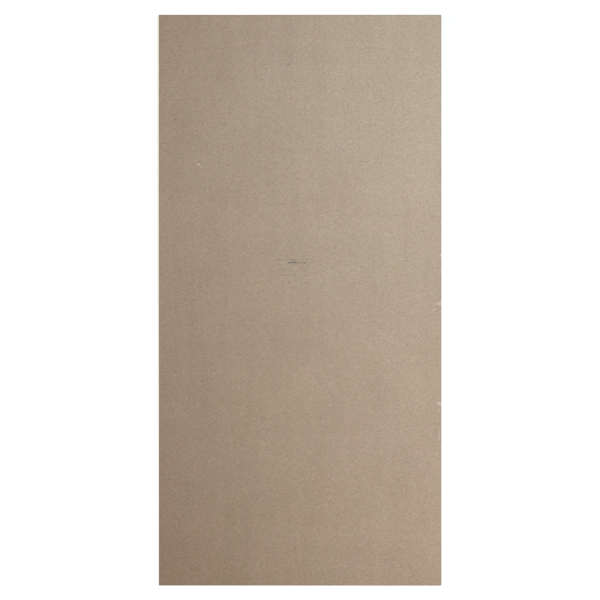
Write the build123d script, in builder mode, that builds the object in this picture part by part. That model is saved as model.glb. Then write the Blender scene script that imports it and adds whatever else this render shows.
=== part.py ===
"""Particle board sheet: one flat pressed panel, trimmed square on its four sides.

Millimetres. The sheet lies flat: X runs across its width, Y along its length and Z up through its
thickness. The origin is at the middle of the underside.
"""

import os

from build123d import *

# Sheet: a stock panel of nominal four by eight feet, one inch over in length for trimming.
sheet_width = 1220.0
sheet_length = 2465.0
sheet_thickness = 16.0

# Trimmed edges: each upright corner is a little blunted, and the arris round both faces is eased.
corner_radius = 1.5
arris = 0.4

# Edge chips: flakes broken from the top arris of the right-hand edge.
# Each has a length along the edge, a reach in over the face and a depth down the edge.
upper_chip_length = 9.0
upper_chip_reach = 8.0
upper_chip_depth = 2.5
middle_chip_length = 16.0
middle_chip_reach = 25.0
middle_chip_depth = 1.2
lower_chip_length = 18.0
lower_chip_reach = 20.0
lower_chip_depth = 1.8

# Middle of each chip, as a share of the sheet's length measured up from the middle of the edge.
upper_chip_place_share = 0.079
middle_chip_place_share = -0.0059
lower_chip_place_share = -0.181

# Inner end of a chip, as a share of its length at the edge.
chip_tip_share = 0.75

# How far a cut stands out above the face that it opens.
cut_overrun = 1.0

edge_chips = (
    (upper_chip_place_share, upper_chip_length, upper_chip_reach, upper_chip_depth),
    (middle_chip_place_share, middle_chip_length, middle_chip_reach, middle_chip_depth),
    (lower_chip_place_share, lower_chip_length, lower_chip_reach, lower_chip_depth),
)


def chip_cut(place_share, length, reach, depth):
    """The wedge that a broken flake leaves: deepest at the edge, rising to nothing inwards."""
    place = place_share * sheet_length
    with BuildPart() as chip:
        with BuildSketch(Plane.YZ.offset(sheet_width / 2)):
            with Locations((place, sheet_thickness - depth)):
                Rectangle(length, depth + cut_overrun, align=(Align.CENTER, Align.MIN))
        with BuildSketch(Plane.YZ.offset(sheet_width / 2 - reach)):
            with Locations((place, sheet_thickness)):
                Rectangle(length * chip_tip_share, cut_overrun, align=(Align.CENTER, Align.MIN))
        loft(ruled=True)
    return chip.part


# The sheet: one pressed panel.
with BuildPart() as sheet:
    with BuildSketch():
        Rectangle(sheet_width, sheet_length)
    extrude(amount=sheet_thickness)
    fillet(sheet.edges().filter_by(Axis.Z), radius=corner_radius)
    faces_top_and_bottom = sheet.faces().filter_by(Axis.Z)
    chamfer(faces_top_and_bottom.edges(), length=arris)
    for chip in edge_chips:
        add(chip_cut(*chip), mode=Mode.SUBTRACT)

sheet.part.label = "particle_board_sheet"

os.makedirs("parts", exist_ok=True)
export_step(sheet.part, "parts/particle_board_sheet.step")
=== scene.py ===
"""Particle board sheet: the looks of one flat pressed panel, lying on a pale floor.

The sheet is one closed mesh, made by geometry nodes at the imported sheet's size. Its faces are flat, apart
from three chips at one edge, and its four sawn edges have the relief of pressed wood flakes. Metres, in the
packed sheet's own frame.
"""

import math
from typing import NamedTuple

import bpy
from bpy.props import FloatProperty, FloatVectorProperty, IntProperty, PointerProperty
from bpy.types import NodeSocket, Operator, Panel, PropertyGroup, Scene, ShaderNodeTree
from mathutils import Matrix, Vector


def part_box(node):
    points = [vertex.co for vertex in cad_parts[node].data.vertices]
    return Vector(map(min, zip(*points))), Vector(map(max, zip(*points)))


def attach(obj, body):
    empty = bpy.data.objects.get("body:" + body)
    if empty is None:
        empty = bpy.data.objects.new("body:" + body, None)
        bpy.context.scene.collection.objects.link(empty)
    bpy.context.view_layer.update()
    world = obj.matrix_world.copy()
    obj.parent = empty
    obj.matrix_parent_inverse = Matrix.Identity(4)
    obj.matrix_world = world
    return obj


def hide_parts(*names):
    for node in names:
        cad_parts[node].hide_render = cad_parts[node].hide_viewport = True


bl_info = {
    "name": "Particle board sheet",
    "version": (1, 0, 0),
    "blender": (4, 5, 0),
    "location": "3D View > Sidebar > Particle board",
    "description": "Makes a sheet of particle board with sawn edges, and a plain stage for it",
    "category": "Object",
}

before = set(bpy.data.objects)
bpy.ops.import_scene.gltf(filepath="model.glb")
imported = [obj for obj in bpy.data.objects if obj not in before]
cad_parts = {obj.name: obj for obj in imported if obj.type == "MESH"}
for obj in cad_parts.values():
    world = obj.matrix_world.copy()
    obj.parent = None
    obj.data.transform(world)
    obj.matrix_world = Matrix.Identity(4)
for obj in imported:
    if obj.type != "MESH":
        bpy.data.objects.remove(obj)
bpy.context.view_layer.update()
SHEET_NODE = "particle_board_sheet"
SHEET_LOW, SHEET_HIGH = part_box(SHEET_NODE)
SHEET_SIZE = SHEET_HIGH - SHEET_LOW

MM = 0.001

# The photograph: its side, the sheet's width and length in it, and how far right of and below its middle
# the sheet's own middle lies, in pixels
PHOTO_SIDE_PX = 600.0
SHEET_WIDE_PX = 282.7
SHEET_LONG_PX = 570.7
SHEET_RIGHT_PX = 0.14
SHEET_DOWN_PX = 0.18

# Kinds of node tree and socket
GEOMETRY_TREE = "GeometryNodeTree"
SHADER_TREE = "ShaderNodeTree"
FLOAT = "NodeSocketFloat"
INT = "NodeSocketInt"
VECTOR = "NodeSocketVector"
COLOUR = "NodeSocketColor"
GEOMETRY = "NodeSocketGeometry"
MATERIAL = "NodeSocketMaterial"

# How nodes are laid out in their editor
NODE_STEP = 220
NODES_IN_ROW = 12

# Attributes of the sheet's mesh
SAWN = "sawn"
BAKE_MAP = "OFBake"


class Chip(NamedTuple):
    """A flake broken from the top arris of the right-hand edge, and how pale the wood under it is."""

    place_share: float
    length: float
    reach: float
    depth: float
    paleness: float


class Specks(NamedTuple):
    """Sparse specks: size, share of cells that hold one, a seed that also turns them, and strength."""

    size: tuple
    share: float
    seed: float
    strength: float


class Surface(NamedTuple):
    """A wood surface: roughness, size of its fibres, how far bare wood stands out, and depth of its bump."""

    roughness: float
    fibre: tuple
    splinter_relief: float
    bump_depth: float


class Mark(NamedTuple):
    """A spot on the upper face: its middle and size in millimetres, its turn in degrees and its strength."""

    x: float
    y: float
    length: float
    width: float
    turn: float
    strength: float


# Where each chip lies, as a share of the sheet's length up from the middle of the edge, and its sizes
EDGE_CHIPS = (
    Chip(0.079, 9 * MM, 8 * MM, 2.5 * MM, 0.85),
    Chip(-0.0059, 16 * MM, 25 * MM, 1.2 * MM, 0.65),
    Chip(-0.181, 18 * MM, 20 * MM, 1.8 * MM, 0.75),
)
# The inner end of a chip beside its length at the edge, the size of the tears in its outline, how far they
# shift its tip and its sides, and where its sides end
CHIP_TIP_SHARE = 0.75
CHIP_TEAR = (5 * MM, 5 * MM, 1.0)
TIP_TEAR = 1.1
SIDE_TEAR = 1.8
CHIP_SIDE = (1.1, 0.8)
# How fast a chip's cut fades below the upper face, and the drop from which the wood is wholly bare
CHIP_FADE_POWER = 8.0
BARE_DROP = 0.15 * MM

# Flecks on the upper face, pale and dark
PALE_FLECKS = (
    Mark(-439, 586, 14, 9, 0, 0.75),
    Mark(587, -665, 13, 6, -40, 0.55),
    Mark(563, -577, 9, 6, 60, 0.55),
    Mark(559, -1109, 12, 5, -10, 0.45),
    Mark(580, -41, 14, 5, 40, 0.45),
    Mark(601, -473, 10, 7, 0, 0.3),
    Mark(601, -585, 46, 8, 90, 0.25),
)
DARK_FLECKS = (
    Mark(-538, -307, 15, 7, 0, 0.4),
    Mark(-540, 781, 9, 6, 30, 0.35),
    Mark(-549, -470, 9, 6, -20, 0.35),
    Mark(488, -1188, 9, 6, 70, 0.35),
    Mark(126, -773, 9, 6, 15, 0.3),
    Mark(571, 360, 8, 6, -50, 0.3),
    Mark(475, -492, 8, 6, 0, 0.3),
    Mark(-471, -1158, 9, 6, 35, 0.3),
    Mark(-246, -1205, 8, 6, -15, 0.3),
    Mark(-143, -634, 8, 6, 80, 0.3),
    Mark(9, -276, 8, 6, 0, 0.3),
    Mark(-506, -933, 9, 6, 20, 0.3),
)
# Rub marks near the middle, and fainter ones near the far end
RUB_MARKS = (
    Mark(-33, 162.4, 39, 5.5, 0, 0.45),
    Mark(-47, 162.4, 10, 6, 0, 0.85),
    Mark(-26, 166.5, 28, 6, 0, 0.36),
    Mark(-20, 160, 40, 15, 0, 0.17),
    Mark(7, 162.4, 34, 5, 0, 0.36),
    Mark(19, 161.3, 9, 8, 0, 0.52),
    Mark(-24, 175.5, 152, 4.5, 0, 0.16),
    Mark(-90, 175.5, 24, 4.5, 0, 0.26),
    Mark(-33, 175.5, 40, 4.5, 0, 0.26),
    Mark(-45, 175.5, 15, 4.5, 0, 0.36),
    Mark(60, 169, 15, 5, -50, 0.16),
    Mark(-61, 107.3, 54, 7, 0, 0.17),
    Mark(2, 106.5, 90, 5, 0, 0.12),
    Mark(-22, 106.5, 10, 5, 0, 0.24),
    Mark(-48, 78, 10, 11, 0, 0.33),
    Mark(-74, 130, 10, 10, 0, 0.27),
    Mark(23, 75, 10, 13, 0, 0.2),
    Mark(-73, 68, 10, 9, 0, 0.17),
    Mark(-128, 76, 11, 9, 0, 0.14),
    Mark(-13, 1049, 110, 4, 0, 0.1),
    Mark(-45, 1057, 42, 4, 0, 0.14),
    Mark(-50, 1017, 26, 12, 0, 0.18),
    Mark(-35, 1070, 104, 4, 0, 0.08),
    Mark(-26, 945, 70, 5, 0, 0.09),
)

# How marks end along and across, where their rims lie, the size of their tears, and how torn rub marks are
MARK_END_POWER = 4.0
MARK_SIDE_POWER = 2.0
MARK_RIM = (1.2, 0.5)
MARK_TEAR = (2.5 * MM,) * 3
RUB_TEAR = 1.5

# Wood under a chip: how far down it shows, the length, width and depth of its splinters, how pale they are,
# how far they differ, and the tones and the painted shade of the gaps between them
BARE_HEIGHT_SHARES = (0.74, 0.82)
SPLINTER = (11 * MM, 1.8 * MM, 0.7 * MM)
SPLINTER_PALE = 0.72
SPLINTER_SPREAD = 0.25
GAP_SHADE_TONES = (-0.4, -0.9)
SPLINTER_GAP_SHADE = 0.35

# Layers of particles, the topmost last: turn in degrees, share of the surface, and size beside the first
GRAIN_LAYERS = ((12, 0.75, 1.0), (100, 0.5, 0.85), (145, 0.45, 1.15), (58, 0.35, 0.7), (170, 0.12, 1.9))
LAYER_SEED_STEP = 17.3
# Where a flake's rim lies in its cell
FLAKE_RIM = (0.7, 0.5)
# Dust between particles: its size beside their width, and its tones
DUST_SHARE = 0.45
DUST_TONES = (0.2, 0.8, -0.8, 0.8)
# How particles swirl: the pitch of a swirl and how far it bends them, beside their length
SWIRL_PITCH = 2.5
SWIRL_BEND = 1.6

# What the press and the sander leave: clouds, streaks along and bands across, with the size, strength, fine
# detail and seed of each
PRESS_SHADES = (
    ((250 * MM, 250 * MM, 250 * MM), 0.135, 1.5, 781.75),
    ((60 * MM, 700 * MM, 1.0), 0.12, 2.0, 228.25),
    ((700 * MM, 42 * MM, 1.0), 0.06, 2.0, 58.25),
)
# How far red, green and blue follow those shades, so that a paler place is no warmer
SHADE_SHARES = (0.9, 1.0, 1.13)
# Slight tints: how large and how strong, the fine ones first
TINTS = ((30 * MM, 0.1), (450 * MM, 0.07))

# Specks on the sanded faces
BARK_SPECKS = Specks((2.6 * MM, 1.6 * MM, 1.6 * MM), 0.003, 5.1, 0.75)
PALE_SPECKS = Specks((6 * MM, 1.3 * MM, 1.3 * MM), 0.004, 9.7, 0.6)
# The rim of the sanded faces, darker towards their edges: how far in, how strongly and how unevenly
RIM_REACH = 6 * MM
RIM_STRENGTH = 0.4
RIM_UNEVEN = 4 * MM

# The sawn edge: where the core gives way to the skins, off the middle as shares of the thickness
CORE_SPAN = (0.47, 0.2)
# How flakes lie in the core, along, along and through the sheet, and which of them are torn out and how far
CORE_FLAKE = (8 * MM, 8 * MM, 1.5 * MM)
TORN_DRAWS = (0.5, 0.95)
TORN_RIM = (0.75, 0.3)
TORN_SHARE = 0.8
# Where a torn flake's pit is darkened with painted shade, and how dark
PIT_SHADE_SPAN = (0.35, 0.8)
PIT_SHADE_STRENGTH = 0.6
# Gaps between the core's flakes, darkened with painted shade: how they are twisted out of shape and how deep
# they look
SHADED_CORE_GAPS = Specks((5 * MM, 5 * MM, 0.8 * MM), 0.07, 31.7, 0.85)
GAP_TWIST_PITCH = (4 * MM, 4 * MM, 1.2 * MM)
GAP_TWIST = (6 * MM, 6 * MM, 1.0 * MM)
GAP_RELIEF = -3.0
# Fibre lines within a flake, the faint lines that the saw leaves as painted light and shade of its grooves,
# and how far the flakes differ in tone
FIBRE_LINE = (7 * MM, 7 * MM, 0.3 * MM)
FIBRE_STRENGTH = 1.0
SAW_LINE = (1.5 * MM, 1.5 * MM, 40 * MM)
SAW_STRENGTH = 0.25
EDGE_CONTRAST = 1.0
# The nibbled arris: how far it reaches, the pitch of the worn places, and the wear that their noise gives
NIBBLE_REACH = 1.6 * MM
NIBBLE_PITCH = (14 * MM,) * 3
NIBBLE_WEAR = (0.5, 0.75, 0.1, 1.0)
# Points this near to each other are one, and a point this near to a wall is on it
TOUCH = 0.01 * MM

# The two surfaces, and what their bump, specular level, tones and rub marks share
SANDED = Surface(0.82, (1.2 * MM,) * 3, 6.0, 0.06 * MM)
SAWN_WOOD = Surface(0.88, (3 * MM, 3 * MM, 0.7 * MM), 2.0, 0.2 * MM)
BUMP_STRENGTH = 0.7
WOOD_SPECULAR = 0.2
TONE_GLOSS = -0.05
RUB_GLOSS = -0.15

# Where each part lies on the map that textures are written to: its low corner and its width and height
FACE_SPAN = (0.475, 0.95)
EDGE_SPAN = (0.0105, 0.95)
SHORT_EDGE_SPAN = (0.0105, 0.472)
UPPER_FACE_CORNER = (0.004, 0.004)
UNDER_FACE_CORNER = (0.483, 0.004)
EDGE_CORNERS = ((0.962, 0.004), (0.989, 0.004), (0.9755, 0.004), (0.989, 0.480))

# The floor: half its side, how far off the sheet its shadow is kept, and where the floor is wholly white
FLOOR_HALF = 30.0
SHADOW_REACH = 60 * MM
WHITE_FROM = 400 * MM
# How much of the white is the floor's own near the sheet, at the left and at the right: beside its far and
# near corners, and past its far and near ends
FAR_SIDE_GLOWS = (0.6, 0.06)
NEAR_SIDE_GLOWS = (0.8, 0.3)
FAR_END_GLOWS = (0.52, 0.22)
NEAR_END_GLOWS = (0.95, 0.6)

# Rows on a face whose columns double in width, one after another, towards the middle
COARSER_ROWS = 5
# How the fine rows crowd towards the arris
FINE_ROW_POWER = 1.5


def length_of(name, description, default):
    """A length that a user may change."""
    return FloatProperty(
        name=name, description=description, default=default, min=0.0, precision=5, unit="LENGTH"
    )


def colour_of(name, description, default):
    """A colour that a user may change."""
    return FloatVectorProperty(
        name=name, description=description, default=default, min=0.0, max=1.0, subtype="COLOR"
    )


def count_of(name, description, default, least):
    """A number of rows or columns that a user may change."""
    return IntProperty(name=name, description=description, default=default, min=least)


def place_of(name, description, default):
    """A place that a user may change."""
    return FloatVectorProperty(
        name=name, description=description, default=default, subtype="TRANSLATION", unit="LENGTH"
    )


def power_of(name, description, default):
    """A lamp's power that a user may change."""
    return FloatProperty(name=name, description=description, default=default, min=0.0, unit="POWER")


class SheetSizes(PropertyGroup):
    """Sizes of the sheet and of the relief on its edges."""

    width: length_of("Width", "Across the sheet", SHEET_SIZE.x)
    length: length_of("Length", "Along the sheet", SHEET_SIZE.y)
    thickness: length_of("Thickness", "Through the sheet", SHEET_SIZE.z)
    corner_radius: length_of("Corner radius", "How blunt the upright corners are", 1.5 * MM)
    arris: length_of("Arris", "Width of the eased arris round both faces", 0.4 * MM)
    pit_depth: length_of("Pit depth", "Depth of the gaps between flakes in the sawn core", 0.9 * MM)
    nibble_depth: length_of("Nibble depth", "How far the arris is nibbled away in places", 0.5 * MM)
    band: length_of("Fine band", "Width of the fine rows beside the arris", 20 * MM)
    first_step: length_of("First step", "Width of the first coarse row inside the fine band", 5 * MM)
    columns_across: count_of("Columns across", "Steps along each short edge, a power of two", 512, 64)
    columns_along: count_of("Columns along", "Steps along each long edge, a power of two", 1024, 64)
    edge_rows: count_of("Edge rows", "Rows of faces through the sheet's thickness", 13, 2)
    upper_rows: count_of("Upper rows", "Fine rows on the upper face, which has the chips", 6, 1)
    under_rows: count_of("Under rows", "Fine rows on the underside", 3, 1)


class GrainSizes(PropertyGroup):
    """Sizes of the particles that the finish shows."""

    face_length: length_of("Face particle length", "Length of a particle on the sanded faces", 3.4 * MM)
    face_width: length_of("Face particle width", "Width of a particle on the sanded faces", 1.2 * MM)
    face_depth: length_of("Face particle depth", "Depth of a particle in the fine skin", 0.5 * MM)
    core_length: length_of("Core flake length", "Length of a flake in the coarse core", 11 * MM)
    core_width: length_of("Core flake width", "Width of a flake in the coarse core", 4 * MM)
    core_depth: length_of("Core flake depth", "Depth of a flake in the coarse core", 1.0 * MM)
    contrast: FloatProperty(
        name="Contrast", description="How far particles differ in tone", default=0.73, min=0.0, max=1.0,
        subtype="FACTOR",
    )


class SheetColours(PropertyGroup):
    """Colours of the sheet's particles and marks."""

    board: colour_of("Board", "Mean colour of the sanded faces", (0.396, 0.310, 0.2335))
    pale: colour_of("Pale particles", "Palest particles", (0.545, 0.440, 0.335))
    # Also the painted shade in the gaps between a chip's splinters
    dark: colour_of("Dark particles", "Darkest particles", (0.243, 0.178, 0.125))
    # Also the painted shade in the sawn core's pits and gaps
    bark: colour_of("Bark", "Specks of bark", (0.105, 0.070, 0.045))
    core: colour_of("Core", "Mean colour of the sawn core", (0.380, 0.285, 0.195))
    fresh: colour_of("Fresh wood", "Wood that a chip or a nick has laid bare", (0.620, 0.540, 0.440))
    rub: colour_of("Rub marks", "Dark rub marks on the upper face", (0.055, 0.055, 0.060))
    # The rim colour darkens the sanded faces towards their edges
    rim: colour_of("Rim", "Soil on the handled rim round both faces", (0.225, 0.200, 0.175))


class StageSettings(PropertyGroup):
    """The floor, the lamps, the even light and the camera."""

    floor: colour_of("Floor", "Colour of the floor", (0.8, 0.8, 0.8))
    lens: FloatProperty(
        name="Lens", description="Focal length of the camera", default=85.0, min=20.0, unit="CAMERA"
    )
    even_light: colour_of("Even light", "Light from all round", (0.42, 0.32, 0.24))
    lamp_size: length_of("Lamp size", "Side of each square lamp", 1.5)
    near_lamp_place: place_of("Near lamp", "Place of the lamp by the near end", (0.65, -0.82, 0.79))
    near_lamp_colour: colour_of("Near lamp colour", "Light of the lamp by the near end", (0.983, 0.989, 1.0))
    near_lamp_power: power_of("Near lamp power", "Power of the lamp by the near end", 5.33)
    far_lamp_place: place_of("Far lamp", "Place of the lamp by the far end", (1.01, 1.01, 1.87))
    far_lamp_colour: colour_of("Far lamp colour", "Light of the lamp by the far end", (0.729, 0.895, 1.0))
    far_lamp_power: power_of("Far lamp power", "Power of the lamp by the far end", 48.05)


class Nodes:
    """Adds nodes to one tree and hands back the sockets that they put out."""

    def __init__(self, tree):
        self.tree = tree

    def add(self, kind, values=(), **settings):
        """A new node with these settings; values go to inputs by name or number, linked or set."""
        node = self.tree.nodes.new(kind)
        row, column = divmod(len(self.tree.nodes), NODES_IN_ROW)
        node.location = (column * NODE_STEP, -row * NODE_STEP)
        for name, value in settings.items():
            setattr(node, name, value)
        for key, value in dict(values).items():
            self.join(value, node.inputs[key])
        return node

    def join(self, value, socket):
        """Links another node's socket to this one, or sets a plain value on it."""
        if isinstance(value, NodeSocket):
            self.tree.links.new(value, socket)
        else:
            socket.default_value = value

    def given(self):
        """The group's inputs by name."""
        node = self.add("NodeGroupInput")
        return {socket.name: socket for socket in node.outputs if socket.name}

    def give(self, **values):
        """Links the group's outputs, whose names are one word each."""
        self.add("NodeGroupOutput", values)

    def group(self, tree, values):
        """Another node group as a node in this tree."""
        return self.add(f"{self.tree.bl_idname.removesuffix('Tree')}Group", values, node_tree=tree)

    def math(self, operation, *values):
        """One sum on numbers."""
        return self.add("ShaderNodeMath", enumerate(values), operation=operation).outputs[0]

    def total(self, first, *others):
        """All the values added up."""
        for value in others:
            first = self.math("ADD", first, value)
        return first

    def product(self, first, *others):
        """All the values multiplied."""
        for value in others:
            first = self.math("MULTIPLY", first, value)
        return first

    def less(self, first, other):
        """The first value less the other."""
        return self.math("SUBTRACT", first, other)

    def span(self, value, low, high, to_low=0.0, to_high=1.0):
        """A value eased from one range to another, and held at its ends."""
        values = {"Value": value, "From Min": low, "From Max": high, "To Min": to_low, "To Max": to_high}
        return self.add("ShaderNodeMapRange", values, interpolation_type="SMOOTHSTEP").outputs[0]

    def vector(self, operation, *values):
        """One sum on vectors."""
        return self.add("ShaderNodeVectorMath", enumerate(values), operation=operation).outputs[0]

    def point(self, x, y, z):
        """A vector of three values."""
        return self.add("ShaderNodeCombineXYZ", {"X": x, "Y": y, "Z": z}).outputs[0]

    def parts(self, vector):
        """The three values of a vector."""
        return self.add("ShaderNodeSeparateXYZ", {"Vector": vector}).outputs[:]

    def noise(self, place, size, detail=2.0, seed=0.0):
        """Noise with lumps of this size, from 0 to 1: one value first, then three more as a colour."""
        spot = self.vector("DIVIDE", place, size)
        if seed:
            spot = self.vector("ADD", spot, (seed, 0.0, 0.0))
        values = {"Vector": spot, "Scale": 1.0, "Detail": detail}
        return self.add("ShaderNodeTexNoise", values, noise_dimensions="3D").outputs

    def swing(self, place, size, detail=2.0, seed=0.0):
        """The noise's one value, about zero."""
        return self.less(self.noise(place, size, detail, seed)[0], 0.5)

    def swings(self, place, size, detail=2.0):
        """The noise's three values, about zero."""
        return self.vector("SUBTRACT", self.noise(place, size, detail)[1], (0.5, 0.5, 0.5))

    def cells(self, vector):
        """The distance to the nearest cell's middle, and two numbers that each cell has at random."""
        node = self.add("ShaderNodeTexVoronoi", {"Vector": vector, "Scale": 1.0}, voronoi_dimensions="3D")
        drawn = self.parts(node.outputs["Color"])
        return node.outputs["Distance"], drawn[0], drawn[1]

    def blend(self, factor, first, second):
        """A value between two, by the factor."""
        return self.add("ShaderNodeMix", {0: factor, 2: first, 3: second}, data_type="FLOAT").outputs[0]

    def blend_colour(self, factor, first, second):
        """A colour between two, by the factor."""
        return self.add("ShaderNodeMix", {0: factor, 6: first, 7: second}, data_type="RGBA").outputs[2]


def new_group(name, kind, inputs, outputs):
    """The nodes of a new group, whose inputs and outputs are named here by kind of socket."""
    tree = bpy.data.node_groups.new(name, kind)
    for way, sockets in (("INPUT", inputs), ("OUTPUT", outputs)):
        for socket_type, labels in sockets.items():
            for label in labels:
                tree.interface.new_socket(label, in_out=way, socket_type=socket_type)
    return Nodes(tree)


def set_inputs(modifier, values):
    """Sets a modifier's inputs through their identifiers."""
    for item in modifier.node_group.interface.items_tree:
        if item.item_type == "SOCKET" and item.in_out == "INPUT":
            modifier[item.identifier] = values[item.name]


# The sheet's mesh


def numbered_grid(nodes, columns, rows):
    """A grid of one by one, with the column and the row of each of its points."""
    values = {
        "Size X": 1.0,
        "Size Y": 1.0,
        "Vertices X": nodes.total(columns, 1),
        "Vertices Y": nodes.total(rows, 1),
    }
    grid = nodes.add("GeometryNodeMeshGrid", values)
    x, y, _ = nodes.parts(nodes.add("GeometryNodeInputPosition").outputs[0])
    column = nodes.math("ROUND", nodes.product(nodes.total(x, 0.5), columns))
    row = nodes.math("ROUND", nodes.product(nodes.total(y, 0.5), rows))
    return grid.outputs["Mesh"], column, row


def store(nodes, mesh, name, value, data_type, domain):
    """Keeps a value on the mesh as an attribute."""
    values = {"Geometry": mesh, "Name": name, "Value": value}
    kinds = {"data_type": data_type, "domain": domain}
    return nodes.add("GeometryNodeStoreNamedAttribute", values, **kinds).outputs[0]


def moved(nodes, mesh, place):
    """The mesh with its points at these places."""
    return nodes.add("GeometryNodeSetPosition", {"Geometry": mesh, "Position": place}).outputs[0]


def turned(nodes, mesh, rotation, translation=(0, 0, 0)):
    """The whole mesh turned, then shifted."""
    values = {"Geometry": mesh, "Rotation": rotation, "Translation": translation}
    return nodes.add("GeometryNodeTransform", values).outputs[0]


def joined(nodes, meshes):
    """Several meshes as one."""
    node = nodes.add("GeometryNodeJoinGeometry")
    for mesh in meshes:
        nodes.join(mesh, node.inputs[0])
    return node.outputs[0]


def face_band_tree():
    """One side of a face: fine rows from the foot of the arris inwards, then rows that double in width."""
    inputs = {FLOAT: ("Run", "Half", "Band", "Arris", "First Step"), INT: ("Columns", "Fine Rows")}
    nodes = new_group("face_band", GEOMETRY_TREE, inputs, {GEOMETRY: ("Mesh",)})
    given = nodes.given()
    columns, arris = given["Columns"], given["Arris"]
    mesh, column, row = numbered_grid(nodes, columns, nodes.total(given["Fine Rows"], COARSER_ROWS + 1))
    on_face = nodes.math("GREATER_THAN", row, 0.5)
    rung = nodes.less(row, 1)
    coarser = nodes.math("MAXIMUM", nodes.less(rung, given["Fine Rows"]), 0)
    stride = nodes.math("POWER", 2.0, coarser)
    fine_share = nodes.math("MINIMUM", nodes.math("DIVIDE", rung, given["Fine Rows"]), 1)
    fine_share = nodes.math("MAXIMUM", fine_share, 0)
    fine_inset = nodes.product(given["Band"], nodes.math("POWER", fine_share, FINE_ROW_POWER))
    coarse_inset = nodes.product(given["First Step"], nodes.less(stride, 1))
    inset = nodes.product(on_face, nodes.total(arris, fine_inset, coarse_inset))
    whole_column = nodes.product(nodes.math("ROUND", nodes.math("DIVIDE", column, stride)), stride)
    column_share = nodes.less(nodes.math("DIVIDE", whole_column, columns), 0.5)
    along = nodes.product(column_share, nodes.less(given["Run"], nodes.product(inset, 2)))
    height = nodes.product(nodes.less(on_face, 1), arris)
    nodes.give(Mesh=moved(nodes, mesh, nodes.point(nodes.less(given["Half"], inset), along, height)))
    return nodes.tree


def sheet_face_tree(band_tree):
    """A whole face, looking up: a band along each side and a coarse field in the middle, with its map."""
    inputs = {
        FLOAT: ("Width", "Length", "Band", "Arris", "First Step"),
        INT: ("Columns Across", "Columns Along", "Fine Rows"),
        VECTOR: ("Map Corner",),
    }
    nodes = new_group("sheet_face", GEOMETRY_TREE, inputs, {GEOMETRY: ("Mesh",)})
    given = nodes.given()
    width, length = given["Width"], given["Length"]
    same = {name: given[name] for name in ("Fine Rows", "Band", "Arris", "First Step")}
    long_side = {"Run": length, "Half": nodes.product(width, 0.5), "Columns": given["Columns Along"]}
    short_side = {"Run": width, "Half": nodes.product(length, 0.5), "Columns": given["Columns Across"]}
    meshes = []
    for quarter in range(4):
        band = nodes.group(band_tree, same | (short_side if quarter % 2 else long_side))
        meshes.append(turned(nodes, band.outputs[0], (0, 0, quarter * math.pi / 2)))
    last_stride = 2**COARSER_ROWS
    inset = nodes.total(given["Arris"], given["Band"], nodes.product(given["First Step"], last_stride - 1))
    values = {
        "Size X": nodes.less(width, nodes.product(inset, 2)),
        "Size Y": nodes.less(length, nodes.product(inset, 2)),
        "Vertices X": nodes.total(nodes.math("DIVIDE", given["Columns Across"], last_stride), 1),
        "Vertices Y": nodes.total(nodes.math("DIVIDE", given["Columns Along"], last_stride), 1),
    }
    meshes.append(nodes.add("GeometryNodeMeshGrid", values).outputs["Mesh"])
    place = nodes.add("GeometryNodeInputPosition").outputs[0]
    off_middle = nodes.vector("DIVIDE", place, nodes.point(width, length, 1.0))
    share = nodes.vector("ADD", off_middle, (0.5, 0.5, 0.0))
    spot = nodes.vector("MULTIPLY_ADD", share, (*FACE_SPAN, 0.0), given["Map Corner"])
    nodes.give(Mesh=store(nodes, joined(nodes, meshes), BAKE_MAP, spot, "FLOAT2", "CORNER"))
    return nodes.tree


def edge_wall_tree():
    """One sawn edge, facing along X, before its relief, with its map."""
    inputs = {
        FLOAT: ("Run", "Half", "Thickness", "Arris"),
        INT: ("Columns", "Rows"),
        VECTOR: ("Map Corner", "Map Span"),
    }
    nodes = new_group("edge_wall", GEOMETRY_TREE, inputs, {GEOMETRY: ("Mesh",)})
    given = nodes.given()
    mesh, column, row = numbered_grid(nodes, given["Columns"], given["Rows"])
    column_share = nodes.math("DIVIDE", column, given["Columns"])
    row_share = nodes.math("DIVIDE", row, given["Rows"])
    along = nodes.product(nodes.less(column_share, 0.5), given["Run"])
    flat_height = nodes.less(given["Thickness"], nodes.product(given["Arris"], 2))
    height = nodes.total(given["Arris"], nodes.product(row_share, flat_height))
    shares = nodes.point(row_share, column_share, 0.0)
    spot = nodes.vector("MULTIPLY_ADD", shares, given["Map Span"], given["Map Corner"])
    mesh = store(nodes, mesh, BAKE_MAP, spot, "FLOAT2", "CORNER")
    mesh = store(nodes, mesh, SAWN, True, "BOOLEAN", "FACE")
    nodes.give(Mesh=moved(nodes, mesh, nodes.point(given["Half"], along, height)))
    return nodes.tree


def flake_pit(nodes, place):
    """From 0 to 1, how deep a gap the saw has left here: some of the core's flakes are torn out."""
    distance, drawn, _ = nodes.cells(nodes.vector("DIVIDE", place, CORE_FLAKE))
    torn = nodes.product(nodes.span(drawn, *TORN_DRAWS), nodes.span(distance, *TORN_RIM))
    return nodes.total(nodes.product(torn, TORN_SHARE), nodes.product(drawn, 1 - TORN_SHARE))


def core_share(nodes, height, thickness):
    """From 0 at the fine skins to 1 in the coarse core."""
    off_middle = nodes.math("ABSOLUTE", nodes.less(nodes.math("DIVIDE", height, thickness), 0.5))
    return nodes.span(off_middle, *CORE_SPAN)


def wall_gaps(nodes, place, width, length):
    """How far in from the sheet's nearest side and its nearest end a place lies, below zero off the sheet."""
    x, y, _ = nodes.parts(place)
    side_gap = nodes.less(nodes.product(width, 0.5), nodes.math("ABSOLUTE", x))
    end_gap = nodes.less(nodes.product(length, 0.5), nodes.math("ABSOLUTE", y))
    return side_gap, end_gap


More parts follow.
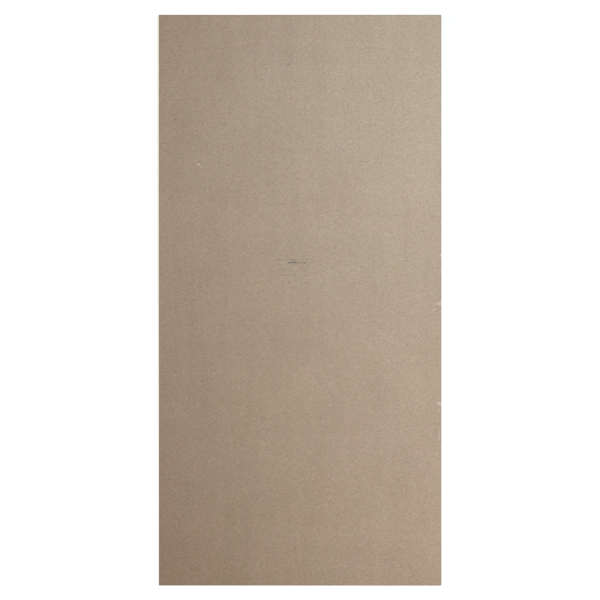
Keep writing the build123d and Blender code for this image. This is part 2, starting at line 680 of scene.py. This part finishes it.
def chip_drops(nodes, place, width, length):
    """How far each edge chip lowers the upper face here."""
    x, y, _ = nodes.parts(place)
    in_from_edge = nodes.less(nodes.product(width, 0.5), x)
    ragged = nodes.swing(place, CHIP_TEAR)
    tip_tear = nodes.product(ragged, TIP_TEAR)
    side_tear = nodes.product(ragged, SIDE_TEAR)
    drops = []
    for chip in EDGE_CHIPS:
        off = nodes.math("ABSOLUTE", nodes.less(y, nodes.product(length, chip.place_share)))
        reached = nodes.total(nodes.math("DIVIDE", in_from_edge, chip.reach), tip_tear)
        narrowed = nodes.less(1.0, nodes.product(reached, 1 - CHIP_TIP_SHARE))
        half_length = nodes.product(narrowed, chip.length / 2)
        across = nodes.span(nodes.total(nodes.math("DIVIDE", off, half_length), side_tear), *CHIP_SIDE)
        wedge = nodes.math("MINIMUM", nodes.math("MAXIMUM", nodes.less(1.0, reached), 0.0), 1.0)
        drops.append(nodes.product(across, wedge, chip.depth))
    return drops


def largest(nodes, values):
    """The largest of several values, none of them below zero."""
    most = 0.0
    for value in values:
        most = nodes.math("MAXIMUM", most, value)
    return most


def top_share(nodes, height, thickness):
    """1 at the upper face, falling fast below it."""
    return nodes.math("POWER", nodes.math("DIVIDE", height, thickness), CHIP_FADE_POWER)


def carved(nodes, mesh, given):
    """The sheet with torn flakes in its sawn edges, nibbled arrises and chips, all cut inwards."""
    width, length, thickness = given["Width"], given["Length"], given["Thickness"]
    place = nodes.add("GeometryNodeInputPosition").outputs[0]
    x, y, z = nodes.parts(place)
    gap_x, gap_y = wall_gaps(nodes, place, width, length)
    gap_z = nodes.math("MINIMUM", z, nodes.less(thickness, z))
    pit = nodes.product(given["Pit Depth"], flake_pit(nodes, place), core_share(nodes, z, thickness))
    off_arris = nodes.total(nodes.math("MINIMUM", gap_x, gap_y), gap_z)
    worn = nodes.span(nodes.noise(place, NIBBLE_PITCH)[0], *NIBBLE_WEAR)
    nibble = nodes.product(given["Nibble Depth"], worn, nodes.span(off_arris, NIBBLE_REACH, 0.0))
    drops = chip_drops(nodes, place, width, length)
    drop = nodes.product(largest(nodes, drops), top_share(nodes, z, thickness))

    def cut_in(value, gap):
        """How far a point moves in from the side or the end that lies on its own hand."""
        on_wall = nodes.math("LESS_THAN", gap, TOUCH)
        by_arris = nodes.math("LESS_THAN", gap, NIBBLE_REACH)
        depth = nodes.total(nodes.product(on_wall, pit), nodes.product(by_arris, nibble))
        return nodes.product(nodes.math("SIGN", value), depth)

    up = nodes.math("SIGN", nodes.less(z, nodes.product(thickness, 0.5)))
    sunk = nodes.total(nodes.product(up, nibble), drop)
    cut = nodes.point(cut_in(x, gap_x), cut_in(y, gap_y), sunk)
    return moved(nodes, mesh, nodes.vector("SUBTRACT", place, cut))


def blunted(nodes, mesh, given):
    """The sheet with its four upright corners drawn in to a small radius."""
    radius = given["Corner Radius"]
    place = nodes.add("GeometryNodeInputPosition").outputs[0]
    x, y, z = nodes.parts(place)
    gap_x, gap_y = wall_gaps(nodes, place, given["Width"], given["Length"])
    past_x = nodes.math("MAXIMUM", nodes.less(radius, gap_x), 0.0)
    past_y = nodes.math("MAXIMUM", nodes.less(radius, gap_y), 0.0)
    both = nodes.math("GREATER_THAN", nodes.math("MINIMUM", past_x, past_y), 0.0)
    far = nodes.math("SQRT", nodes.total(nodes.product(past_x, past_x), nodes.product(past_y, past_y)))
    allowed = nodes.math("MAXIMUM", past_x, past_y)
    kept = nodes.math("MINIMUM", nodes.math("DIVIDE", allowed, far), 1.0)
    draw_in = nodes.product(both, nodes.less(1.0, kept))
    new_x = nodes.less(x, nodes.product(nodes.math("SIGN", x), past_x, draw_in))
    new_y = nodes.less(y, nodes.product(nodes.math("SIGN", y), past_y, draw_in))
    return moved(nodes, mesh, nodes.point(new_x, new_y, z))


def sheet_tree():
    """The whole sheet: two faces and four sawn edges, merged, carved and given their finishes."""
    lengths = ("Width", "Length", "Thickness", "Corner Radius", "Arris", "Band", "First Step")
    depths = ("Pit Depth", "Nibble Depth")
    counts = ("Columns Across", "Columns Along", "Edge Rows", "Upper Rows", "Under Rows")
    inputs = {FLOAT: lengths + depths, INT: counts, MATERIAL: ("Face Finish", "Edge Finish")}
    nodes = new_group("particle_board_sheet", GEOMETRY_TREE, inputs, {GEOMETRY: ("Sheet",)})
    given = nodes.given()
    face_tree = sheet_face_tree(face_band_tree())
    wall_tree = edge_wall_tree()
    same = ("Width", "Length", "Columns Across", "Columns Along", "Band", "Arris", "First Step")
    face_values = {name: given[name] for name in same}
    upper_values = {"Fine Rows": given["Upper Rows"], "Map Corner": (*UPPER_FACE_CORNER, 0.0)}
    under_values = {"Fine Rows": given["Under Rows"], "Map Corner": (*UNDER_FACE_CORNER, 0.0)}
    upper = nodes.group(face_tree, face_values | upper_values)
    under = nodes.group(face_tree, face_values | under_values)
    top = nodes.point(0.0, 0.0, given["Thickness"])
    meshes = [
        turned(nodes, upper.outputs[0], (0, 0, 0), top),
        turned(nodes, under.outputs[0], (math.pi, 0, 0)),
    ]
    for quarter, corner in enumerate(EDGE_CORNERS):
        across, along = ("Length", "Width") if quarter % 2 else ("Width", "Length")
        columns = given["Columns Across"] if quarter % 2 else given["Columns Along"]
        span = SHORT_EDGE_SPAN if quarter % 2 else EDGE_SPAN
        values = {
            "Run": given[along],
            "Half": nodes.product(given[across], 0.5),
            "Columns": columns,
            "Rows": given["Edge Rows"],
            "Thickness": given["Thickness"],
            "Arris": given["Arris"],
            "Map Corner": (*corner, 0.0),
            "Map Span": (*span, 0.0),
        }
        wall = nodes.group(wall_tree, values)
        meshes.append(turned(nodes, wall.outputs[0], (0, 0, quarter * math.pi / 2)))
    merge = nodes.add("GeometryNodeMergeByDistance", {"Geometry": joined(nodes, meshes), "Distance": TOUCH})
    sheet = blunted(nodes, carved(nodes, merge.outputs[0], given), given)
    sheet = nodes.add("GeometryNodeSetShadeSmooth", {"Geometry": sheet, "Shade Smooth": True}).outputs[0]
    sheet = nodes.add("GeometryNodeRealizeInstances", {"Geometry": sheet}).outputs[0]
    sawn = nodes.add("GeometryNodeInputNamedAttribute", {"Name": SAWN}, data_type="BOOLEAN").outputs[0]
    values = {"Geometry": sheet, "Material": given["Face Finish"]}
    sheet = nodes.add("GeometryNodeSetMaterial", values).outputs[0]
    values = {"Geometry": sheet, "Selection": sawn, "Material": given["Edge Finish"]}
    nodes.give(Sheet=nodes.add("GeometryNodeSetMaterial", values).outputs[0])
    return nodes.tree


# The finishes


def flake_layer_tree():
    """One layer of flakes that lie one way: where they are, and the tone of each."""
    inputs = {VECTOR: ("Vector",), FLOAT: ("Turn", "Length", "Width", "Depth", "Share", "Seed")}
    nodes = new_group("flake_layer", SHADER_TREE, inputs, {FLOAT: ("Mask", "Tone")})
    given = nodes.given()
    values = {"Vector": given["Vector"], "Angle": given["Turn"]}
    turned_place = nodes.add("ShaderNodeVectorRotate", values, rotation_type="Z_AXIS").outputs[0]
    size = nodes.point(given["Length"], given["Width"], given["Depth"])
    shift = nodes.point(given["Seed"], 0.0, given["Seed"])
    place = nodes.vector("ADD", nodes.vector("DIVIDE", turned_place, size), shift)
    distance, drawn, tone = nodes.cells(place)
    chosen = nodes.math("LESS_THAN", drawn, given["Share"])
    mask = nodes.product(chosen, nodes.span(distance, *FLAKE_RIM))
    nodes.give(Mask=mask, Tone=nodes.less(nodes.product(tone, 2), 1))
    return nodes.tree


def particle_grain_tree(layer_tree):
    """Pressed particles that lie every way, one over another: their tone, from -1 to 1."""
    inputs = {VECTOR: ("Vector",), FLOAT: ("Length", "Width", "Depth")}
    nodes = new_group("particle_grain", SHADER_TREE, inputs, {FLOAT: ("Tone",)})
    given = nodes.given()
    length, width = given["Length"], given["Width"]
    dust = nodes.point(*[nodes.product(width, DUST_SHARE)] * 3)
    tone = nodes.span(nodes.noise(given["Vector"], dust)[0], *DUST_TONES)
    swirl = nodes.swings(given["Vector"], nodes.point(*[nodes.product(length, SWIRL_PITCH)] * 3), 0.0)
    bend = nodes.point(*[nodes.product(length, SWIRL_BEND)] * 2, 0.0)
    place = nodes.vector("MULTIPLY_ADD", swirl, bend, given["Vector"])
    for number, (turn, share, size) in enumerate(GRAIN_LAYERS):
        values = {
            "Vector": place,
            "Turn": math.radians(turn),
            "Length": nodes.product(length, size),
            "Width": nodes.product(width, size),
            "Depth": nodes.product(given["Depth"], size),
            "Share": share,
            "Seed": LAYER_SEED_STEP * number,
        }
        layer = nodes.group(layer_tree, values)
        tone = nodes.blend(layer.outputs["Mask"], tone, layer.outputs["Tone"])
    nodes.give(Tone=tone)
    return nodes.tree


def press_clouds_tree():
    """Slow changes left by the press and the sander: clouds, streaks, bands and slight tints."""
    nodes = new_group("press_clouds", SHADER_TREE, {VECTOR: ("Vector",)}, {COLOUR: ("Shade",)})
    place = nodes.given()["Vector"]
    shade = 0.0
    for size, strength, detail, seed in PRESS_SHADES:
        shade = nodes.total(shade, nodes.product(nodes.swing(place, size, detail, seed), strength))
    channels = [nodes.total(1.0, nodes.product(shade, share)) for share in SHADE_SHARES]
    for size, strength in TINTS:
        parts = nodes.parts(nodes.swings(place, (size,) * 3))
        grey = nodes.product(nodes.total(*parts), 1 / 3)
        tints = [nodes.product(nodes.less(part, grey), strength) for part in parts]
        channels = [nodes.total(channel, tint) for channel, tint in zip(channels, tints)]
    nodes.give(Shade=nodes.point(*channels))
    return nodes.tree


def particle_colour_tree():
    """The colour of particles by their tone, with the slow shade over them."""
    inputs = {FLOAT: ("Tone", "Contrast"), COLOUR: ("Shade", "Mean", "Pale", "Dark")}
    nodes = new_group("particle_colour", SHADER_TREE, inputs, {COLOUR: ("Colour",)})
    given = nodes.given()
    strength = nodes.product(given["Tone"], given["Contrast"])
    paleness = nodes.math("MAXIMUM", strength, 0.0)
    colour = nodes.blend_colour(paleness, given["Mean"], given["Pale"])
    darkness = nodes.math("MAXIMUM", nodes.product(strength, -1), 0.0)
    colour = nodes.blend_colour(darkness, colour, given["Dark"])
    nodes.give(Colour=nodes.vector("MULTIPLY", colour, given["Shade"]))
    return nodes.tree


def surface_mark_tree():
    """Where one mark lies on the upper face, from 0 to 1, with a ragged outline."""
    inputs = {VECTOR: ("Vector", "Middle"), FLOAT: ("Length", "Width", "Turn", "Ragged", "Strength")}
    nodes = new_group("surface_mark", SHADER_TREE, inputs, {FLOAT: ("Mask",)})
    given = nodes.given()
    off = nodes.vector("SUBTRACT", given["Vector"], given["Middle"])
    values = {"Vector": off, "Angle": given["Turn"]}
    x, y, _ = nodes.parts(nodes.add("ShaderNodeVectorRotate", values, rotation_type="Z_AXIS").outputs[0])
    along = nodes.math("ABSOLUTE", nodes.math("DIVIDE", x, nodes.product(given["Length"], 0.5)))
    across = nodes.math("ABSOLUTE", nodes.math("DIVIDE", y, nodes.product(given["Width"], 0.5)))
    powers = (nodes.math("POWER", along, MARK_END_POWER), nodes.math("POWER", across, MARK_SIDE_POWER))
    mask = nodes.span(nodes.total(*powers, given["Ragged"]), *MARK_RIM)
    nodes.give(Mask=nodes.product(mask, given["Strength"]))
    return nodes.tree


def bare_mask_tree():
    """Where the edge chips lay the wood bare, from 0 to 1."""
    inputs = {VECTOR: ("Vector",), FLOAT: ("Width", "Length", "Thickness")}
    nodes = new_group("bare_mask", SHADER_TREE, inputs, {FLOAT: ("Bare",)})
    given = nodes.given()
    place = given["Vector"]
    drops = chip_drops(nodes, place, given["Width"], given["Length"])
    shares = [nodes.span(drop, 0.0, BARE_DROP, 0.0, chip.paleness) for drop, chip in zip(drops, EDGE_CHIPS)]
    height_share = nodes.math("DIVIDE", nodes.parts(place)[2], given["Thickness"])
    nodes.give(Bare=nodes.product(largest(nodes, shares), nodes.span(height_share, *BARE_HEIGHT_SHARES)))
    return nodes.tree


def bare_wood_tree():
    """Bare wood over another colour: pale splinters by their tone, with painted shade in the gaps, and their
    relief.
    """
    inputs = {FLOAT: ("Bare", "Tone"), COLOUR: ("Colour", "Fresh", "Gap Shade")}
    nodes = new_group("bare_wood", SHADER_TREE, inputs, {COLOUR: ("Colour",), FLOAT: ("Relief",)})
    given = nodes.given()
    bare, tone = given["Bare"], given["Tone"]
    pale = nodes.total(SPLINTER_PALE, nodes.product(tone, SPLINTER_SPREAD))
    colour = nodes.blend_colour(nodes.product(bare, pale), given["Colour"], given["Fresh"])
    # Painted shade in the gaps between splinters, towards the dark particle colour
    gaps = nodes.product(bare, nodes.span(tone, *GAP_SHADE_TONES, 0.0, SPLINTER_GAP_SHADE))
    nodes.give(Colour=nodes.blend_colour(gaps, colour, given["Gap Shade"]), Relief=nodes.product(bare, tone))
    return nodes.tree


class Groups(NamedTuple):
    """The shader groups that the finishes share."""

    layer: ShaderNodeTree
    grain: ShaderNodeTree
    clouds: ShaderNodeTree
    colour: ShaderNodeTree
    mark: ShaderNodeTree
    bare_mask: ShaderNodeTree
    bare_wood: ShaderNodeTree


def shared_groups():
    """Builds each of those groups once."""
    layer = flake_layer_tree()
    return Groups(
        layer,
        particle_grain_tree(layer),
        press_clouds_tree(),
        particle_colour_tree(),
        surface_mark_tree(),
        bare_mask_tree(),
        bare_wood_tree(),
    )


def opaque(colour):
    """A property's colour as a socket takes it."""
    return (*colour, 1.0)


def new_finish(name):
    """An empty material, its nodes and the place that its patterns follow."""
    material = bpy.data.materials.new(name)
    material.use_nodes = True
    material.node_tree.nodes.clear()
    nodes = Nodes(material.node_tree)
    return material, nodes, nodes.add("ShaderNodeTexCoord").outputs["Object"]


def wood_surface(nodes, colour, roughness, height, bump_depth):
    """The matt surface of pressed wood."""
    bump = nodes.add("ShaderNodeBump", {"Strength": BUMP_STRENGTH, "Distance": bump_depth, "Height": height})
    values = {"Base Color": colour, "Roughness": roughness, "Normal": bump.outputs[0]}
    shader = nodes.add("ShaderNodeBsdfPrincipled", values | {"Specular IOR Level": WOOD_SPECULAR})
    nodes.add("ShaderNodeOutputMaterial", {"Surface": shader.outputs[0]})


def marks_mask(nodes, place, group, marks, ragged, on_top):
    """Where any of these marks lies, from 0 to 1."""
    mask = 0.0
    for mark in marks:
        values = {
            "Vector": place,
            "Middle": (mark.x * MM, mark.y * MM, 0.0),
            "Length": mark.length * MM,
            "Width": mark.width * MM,
            "Turn": math.radians(-mark.turn),
            "Ragged": ragged,
            "Strength": mark.strength,
        }
        mask = nodes.math("MAXIMUM", mask, nodes.group(group, values).outputs[0])
    return nodes.product(mask, on_top)


def specks(nodes, place, group, kind):
    """Where sparse specks of this kind lie, from 0 to 1."""
    length, width, depth = kind.size
    values = {
        "Vector": place,
        "Turn": kind.seed,
        "Length": length,
        "Width": width,
        "Depth": depth,
        "Share": kind.share,
        "Seed": kind.seed,
    }
    return nodes.group(group, values).outputs["Mask"]


def skin_grain(nodes, place, groups, grain, sizes):
    """The tone of the fine skin's particles, coarser where a chip lays the wood bare, and where that is."""
    values = {"Vector": place, "Width": sizes.width, "Length": sizes.length, "Thickness": sizes.thickness}
    bare = nodes.group(groups.bare_mask, values).outputs[0]
    inside = nodes.math("GREATER_THAN", bare, 0.0)
    skin = (grain.face_length, grain.face_width, grain.face_depth)
    length, width, depth = [nodes.blend(inside, fine, coarse) for fine, coarse in zip(skin, SPLINTER)]
    values = {"Vector": place, "Length": length, "Width": width, "Depth": depth}
    return nodes.group(groups.grain, values).outputs[0], bare


def bare_wood(nodes, groups, bare, tone, colour, colours):
    """The colour with the chips' bare wood laid over it, and the relief of that wood."""
    values = {"Bare": bare, "Tone": tone, "Colour": colour}
    values |= {"Fresh": opaque(colours.fresh), "Gap Shade": opaque(colours.dark)}
    return nodes.group(groups.bare_wood, values).outputs[:]


def particle_colour(nodes, place, groups, tone, contrast, mean, colours):
    """The colour of particles of this tone, with the slow shade over them."""
    values = {
        "Tone": tone,
        "Shade": nodes.group(groups.clouds, {"Vector": place}).outputs[0],
        "Contrast": contrast,
        "Mean": opaque(mean),
        "Pale": opaque(colours.pale),
        "Dark": opaque(colours.dark),
    }
    return nodes.group(groups.colour, values).outputs[0]


def sanded_face_finish(groups, colours, grain, sizes):
    """The sanded faces: fine particles every way, sparse bark and splinters, flecks and rub marks."""
    material, nodes, place = new_finish("sanded_face")
    tone, bare = skin_grain(nodes, place, groups, grain, sizes)
    colour = particle_colour(nodes, place, groups, tone, grain.contrast, colours.board, colours)
    for kind, speck_colour in ((BARK_SPECKS, colours.bark), (PALE_SPECKS, colours.fresh)):
        mask = nodes.product(specks(nodes, place, groups.layer, kind), kind.strength)
        colour = nodes.blend_colour(mask, colour, opaque(speck_colour))
    on_top = nodes.math("GREATER_THAN", nodes.parts(place)[2], sizes.thickness / 2)
    ragged = nodes.swing(place, MARK_TEAR)
    # Darker towards the rim of both faces, with an uneven inner line
    wall_gap = nodes.math("MINIMUM", *wall_gaps(nodes, place, sizes.width, sizes.length))
    rim_gap = nodes.less(wall_gap, nodes.product(ragged, RIM_UNEVEN))
    rim = nodes.span(rim_gap, RIM_REACH, 0.0, 0.0, RIM_STRENGTH)
    colour = nodes.blend_colour(rim, colour, opaque(colours.rim))
    rub = marks_mask(nodes, place, groups.mark, RUB_MARKS, nodes.product(ragged, RUB_TEAR), on_top)
    colour = nodes.blend_colour(rub, colour, opaque(colours.rub))
    for flecks, fleck_colour in ((DARK_FLECKS, colours.bark), (PALE_FLECKS, colours.fresh)):
        mask = marks_mask(nodes, place, groups.mark, flecks, ragged, on_top)
        colour = nodes.blend_colour(mask, colour, opaque(fleck_colour))
    colour, relief = bare_wood(nodes, groups, bare, tone, colour, colours)
    roughness = nodes.total(SANDED.roughness, nodes.product(tone, TONE_GLOSS), nodes.product(rub, RUB_GLOSS))
    height = nodes.total(nodes.noise(place, SANDED.fibre)[0], nodes.product(relief, SANDED.splinter_relief))
    wood_surface(nodes, colour, roughness, height, SANDED.bump_depth)
    return material


def sawn_edge_finish(groups, colours, grain, sizes):
    """The sawn edges: long flakes on edge in the core, fine skins, painted shade in pits and gaps, painted
    light and shade on faint saw marks.
    """
    material, nodes, place = new_finish("sawn_edge")
    core = core_share(nodes, nodes.parts(place)[2], sizes.thickness)
    skin_tone, bare = skin_grain(nodes, place, groups, grain, sizes)
    values = {"Length": grain.core_length, "Width": grain.core_width, "Depth": grain.core_depth}
    core_tone = nodes.group(groups.grain, {"Vector": place} | values).outputs[0]
    fibre_lines = nodes.swing(place, FIBRE_LINE)
    core_tone = nodes.total(core_tone, nodes.product(fibre_lines, FIBRE_STRENGTH))
    tone = nodes.blend(core, skin_tone, core_tone)
    colour = particle_colour(nodes, place, groups, tone, EDGE_CONTRAST, colours.core, colours)
    # Painted shade in the pits of torn flakes, in the bark colour
    pit = nodes.product(nodes.span(flake_pit(nodes, place), *PIT_SHADE_SPAN), core)
    colour = nodes.blend_colour(nodes.product(pit, PIT_SHADE_STRENGTH), colour, opaque(colours.bark))
    # Painted shade in the gaps between the core's flakes, in the bark colour; the bump also sinks them
    twisted = nodes.vector("MULTIPLY_ADD", nodes.swings(place, GAP_TWIST_PITCH), GAP_TWIST, place)
    gap = nodes.product(specks(nodes, twisted, groups.layer, SHADED_CORE_GAPS), core)
    colour = nodes.blend_colour(nodes.product(gap, SHADED_CORE_GAPS.strength), colour, opaque(colours.bark))
    # Painted light and shade along the saw's grooves, which the bump also gives
    saw_lines = nodes.swing(place, SAW_LINE)
    saw_light_and_shade = nodes.total(1.0, nodes.product(saw_lines, SAW_STRENGTH))
    colour = nodes.vector("MULTIPLY", colour, nodes.point(saw_light_and_shade, saw_light_and_shade, saw_light_and_shade))
    colour, relief = bare_wood(nodes, groups, bare, skin_tone, colour, colours)
    roughness = nodes.total(SAWN_WOOD.roughness, nodes.product(tone, TONE_GLOSS))
    fibres = nodes.noise(place, SAWN_WOOD.fibre)[0]
    splinters = nodes.product(relief, SAWN_WOOD.splinter_relief)
    height = nodes.total(fibres, saw_lines, fibre_lines, splinters, nodes.product(gap, GAP_RELIEF))
    wood_surface(nodes, colour, roughness, height, SAWN_WOOD.bump_depth)
    return material


def make_sheet(sizes, grain, colours):
    """The sheet as a plain closed mesh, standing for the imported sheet."""
    groups = shared_groups()
    sheet = bpy.data.objects.new("sheet", bpy.data.meshes.new("sheet"))
    bpy.context.scene.collection.objects.link(sheet)
    modifier = sheet.modifiers.new("sheet", "NODES")
    modifier.node_group = sheet_tree()
    values = {name.replace("_", " ").title(): getattr(sizes, name) for name in sizes.__annotations__}
    values["Face Finish"] = sanded_face_finish(groups, colours, grain, sizes)
    values["Edge Finish"] = sawn_edge_finish(groups, colours, grain, sizes)
    set_inputs(modifier, values)
    depsgraph = bpy.context.evaluated_depsgraph_get()
    made = bpy.data.meshes.new_from_object(
        sheet.evaluated_get(depsgraph), preserve_all_data_layers=True, depsgraph=depsgraph
    )
    sheet.modifiers.clear()
    sheet.data = made
    if not made.polygons:
        raise RuntimeError("the sheet came out empty")
    # The nodes put an empty slot before the two finishes, and no face uses it
    if made.materials[0] is None:
        made.materials.pop(index=0)
    return sheet


# The stage


def shown_ray(nodes):
    """1 for what the camera sees, straight, in a mirror or through glass."""
    path = nodes.add("ShaderNodeLightPath").outputs
    seen = nodes.math("MAXIMUM", path["Is Camera Ray"], path["Is Glossy Ray"])
    return nodes.math("MAXIMUM", seen, path["Is Transmission Ray"])


def floor_finish(colour, sizes):
    """A pale floor that the camera sees as white, apart from the shadow close round the sheet."""
    material, nodes, place = new_finish("floor")
    diffuse = nodes.add("ShaderNodeBsdfDiffuse", {"Color": opaque(colour)})
    x, y, _ = nodes.parts(place)
    side_gap, end_gap = wall_gaps(nodes, place, sizes.width, sizes.length)
    half_width = sizes.width / 2
    corner_glows = (FAR_SIDE_GLOWS, NEAR_SIDE_GLOWS, FAR_END_GLOWS, NEAR_END_GLOWS)
    glows = [nodes.span(x, -half_width, half_width, *ends) for ends in corner_glows]
    far_side, near_side, past_far, past_near = glows
    near_share = nodes.span(y, sizes.length / 2, -sizes.length / 2)
    beside = nodes.blend(nodes.product(near_share, near_share), far_side, near_side)
    end_glow = nodes.blend(nodes.math("GREATER_THAN", y, 0.0), past_near, past_far)
    close_glow = nodes.blend(nodes.math("LESS_THAN", end_gap, 0.0), beside, end_glow)
    wall_gap = nodes.math("MINIMUM", side_gap, end_gap)
    strength = nodes.span(wall_gap, -SHADOW_REACH, -WHITE_FROM, close_glow, 1.0)
    glow = nodes.add("ShaderNodeEmission", {"Strength": nodes.product(shown_ray(nodes), strength)})
    both = nodes.add("ShaderNodeAddShader", {0: diffuse.outputs[0], 1: glow.outputs[0]})
    nodes.add("ShaderNodeOutputMaterial", {"Surface": both.outputs[0]})
    return material


def make_floor(colour, sizes):
    """A wide floor under the sheet."""
    corners = [(-FLOOR_HALF, -FLOOR_HALF, 0), (FLOOR_HALF, -FLOOR_HALF, 0)]
    corners += [(FLOOR_HALF, FLOOR_HALF, 0), (-FLOOR_HALF, FLOOR_HALF, 0)]
    mesh = bpy.data.meshes.new("floor")
    mesh.from_pydata(corners, [], [(0, 1, 2, 3)])
    mesh.materials.append(floor_finish(colour, sizes))
    floor = bpy.data.objects.new("floor", mesh)
    bpy.context.scene.collection.objects.link(floor)


def make_world(even_light):
    """Even light from all round, which the camera sees as white."""
    world = bpy.data.worlds.new("stage")
    world.use_nodes = True
    world.node_tree.nodes.clear()
    nodes = Nodes(world.node_tree)
    colour = nodes.blend_colour(shown_ray(nodes), opaque(even_light), (1.0, 1.0, 1.0, 1.0))
    background = nodes.add("ShaderNodeBackground", {"Color": colour})
    nodes.add("ShaderNodeOutputWorld", {"Surface": background.outputs[0]})
    bpy.context.scene.world = world


def make_lamp(name, place, colour, power, size):
    """A square lamp that faces the middle of the sheet."""
    light = bpy.data.lights.new(name, "AREA")
    light.shape = "SQUARE"
    light.size = size
    light.color = colour
    light.energy = power
    lamp = bpy.data.objects.new(name, light)
    lamp.location = place
    lamp.rotation_euler = lamp.location.to_track_quat("Z", "Y").to_euler()
    bpy.context.scene.collection.objects.link(lamp)


def make_camera(lens, sizes):
    """A camera straight above the sheet, as far off as the photograph's framing needs."""
    data = bpy.data.cameras.new("camera")
    data.lens = lens
    pixels_per_metre = math.sqrt(SHEET_WIDE_PX / sizes.width * SHEET_LONG_PX / sizes.length)
    view_side = PHOTO_SIDE_PX / pixels_per_metre
    camera = bpy.data.objects.new("camera", data)
    height = sizes.thickness + view_side * lens / data.sensor_width
    camera.location = (-SHEET_RIGHT_PX / pixels_per_metre, SHEET_DOWN_PX / pixels_per_metre, height)
    bpy.context.scene.collection.objects.link(camera)
    bpy.context.scene.camera = camera


class PARTICLE_BOARD_OT_sheet(Operator):
    """Make the sheet of particle board"""

    bl_idname = "particle_board.sheet"
    bl_label = "Make sheet"

    def execute(self, context):
        scene = context.scene
        sheet = make_sheet(scene.board_sizes, scene.board_grain, scene.board_colours)
        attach(sheet, "root")
        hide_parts(SHEET_NODE)
        return {"FINISHED"}


class PARTICLE_BOARD_OT_stage(Operator):
    """Make the floor, the lamps, the even light and the camera"""

    bl_idname = "particle_board.stage"
    bl_label = "Make stage"

    def execute(self, context):
        scene = context.scene
        stage = scene.board_stage
        scene.view_settings.view_transform = "Standard"
        make_floor(stage.floor, scene.board_sizes)
        make_world(stage.even_light)
        near = (stage.near_lamp_place, stage.near_lamp_colour, stage.near_lamp_power)
        far = (stage.far_lamp_place, stage.far_lamp_colour, stage.far_lamp_power)
        make_lamp("near_lamp", *near, stage.lamp_size)
        make_lamp("far_lamp", *far, stage.lamp_size)
        make_camera(stage.lens, scene.board_sizes)
        return {"FINISHED"}


class PARTICLE_BOARD_PT_panel(Panel):
    """The sheet's sizes and colours, and the buttons that make it"""

    bl_idname = "PARTICLE_BOARD_PT_panel"
    bl_label = "Particle board"
    bl_space_type = "VIEW_3D"
    bl_region_type = "UI"
    bl_category = "Particle board"

    def draw(self, context):
        scene = context.scene
        for operator in OPERATORS:
            self.layout.operator(operator.bl_idname)
        for settings in (scene.board_sizes, scene.board_grain, scene.board_colours, scene.board_stage):
            box = self.layout.box()
            for name in settings.__annotations__:
                box.prop(settings, name)


SETTINGS = {
    "board_sizes": SheetSizes,
    "board_grain": GrainSizes,
    "board_colours": SheetColours,
    "board_stage": StageSettings,
}
OPERATORS = (PARTICLE_BOARD_OT_sheet, PARTICLE_BOARD_OT_stage)
CLASSES = (*SETTINGS.values(), *OPERATORS, PARTICLE_BOARD_PT_panel)


def register():
    """Adds the classes, and the settings that each scene holds."""
    for cls in CLASSES:
        bpy.utils.register_class(cls)
    for name, cls in SETTINGS.items():
        setattr(Scene, name, PointerProperty(type=cls))


def unregister():
    """Takes them all away again."""
    for name in SETTINGS:
        delattr(Scene, name)
    for cls in reversed(CLASSES):
        bpy.utils.unregister_class(cls)


def main():
    """Makes the sheet and its stage."""
    register()
    bpy.ops.particle_board.sheet()
    bpy.ops.particle_board.stage()


if __name__ == "__main__":
    main()
